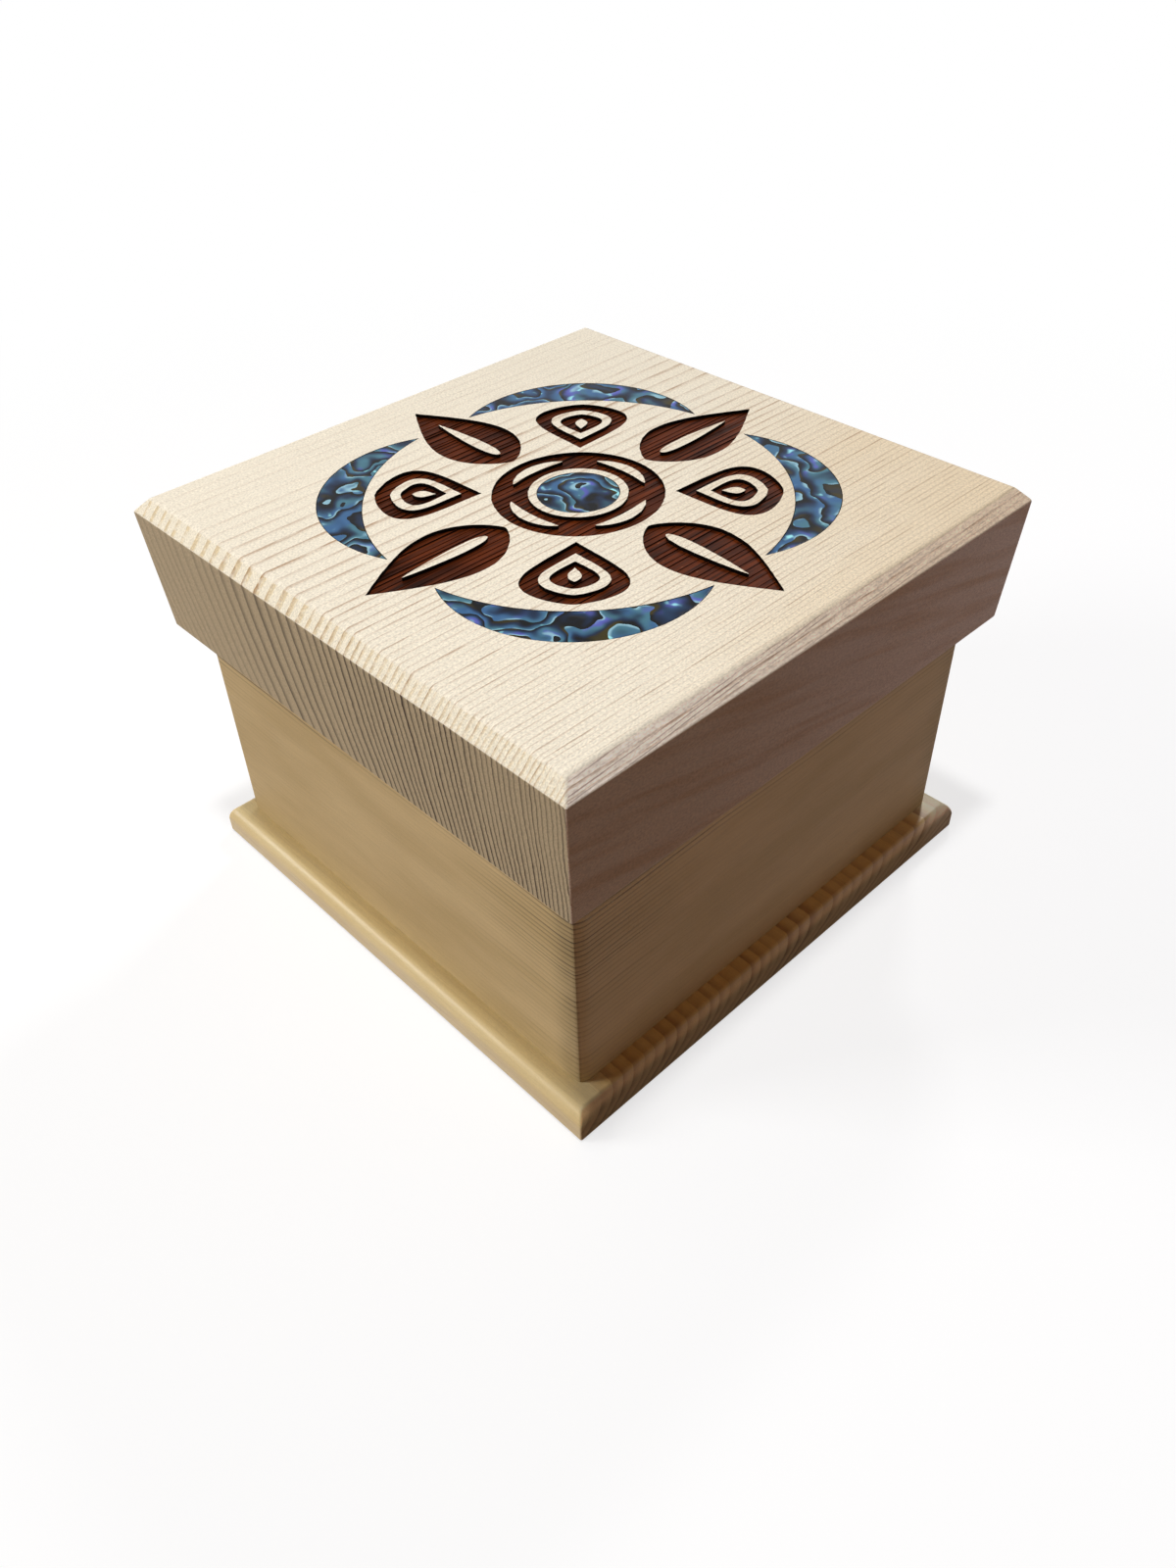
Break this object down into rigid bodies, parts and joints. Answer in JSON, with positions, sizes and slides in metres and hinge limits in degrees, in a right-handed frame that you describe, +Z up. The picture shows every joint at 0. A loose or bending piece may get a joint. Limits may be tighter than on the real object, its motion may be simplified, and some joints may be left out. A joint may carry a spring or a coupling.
{
  "type": "bentwood box",
  "caption": "Square bentwood box: one cedar plank kerf-bent into walls, a bevelled base board, and a thick overhanging lift-off lid inlaid with shell.",
  "frame": {"origin": "middle of the base board's underside, on the surface that the box stands on", "axes": "+Z up, the way the lid lifts; X and Y square to the walls; the lapped and pegged corner is at -X +Y"},
  "size_m": [0.14, 0.14, 0.1005],
  "materials": {
    "lid_cedar": "planed and sanded pale cedar with a thin clear oil",
    "plank_cedar": "sanded cedar plank, grain running round the bends",
    "base_cedar": "sanded cedar board",
    "peg_wood": "whittled hardwood pegs, cut flush",
    "abalone": "polished abalone shell, blue and green"
  },
  "bodies": {
    "box": {"base_board": "base_cedar", "base_pegs": "peg_wood", "side_plank": "plank_cedar", "corner_pegs": "peg_wood"},
    "lid": {"lid": "lid_cedar", "shell_disc": "abalone", "shell_crescent_front": "abalone", "shell_crescent_right": "abalone", "shell_crescent_back": "abalone", "shell_crescent_left": "abalone"}
  },
  "joints": [
    {"name": "lid_lift", "type": "slide", "parent": "box", "child": "lid", "axis": [0, 0, 1], "range_m": [0, 0.08]}
  ]
}
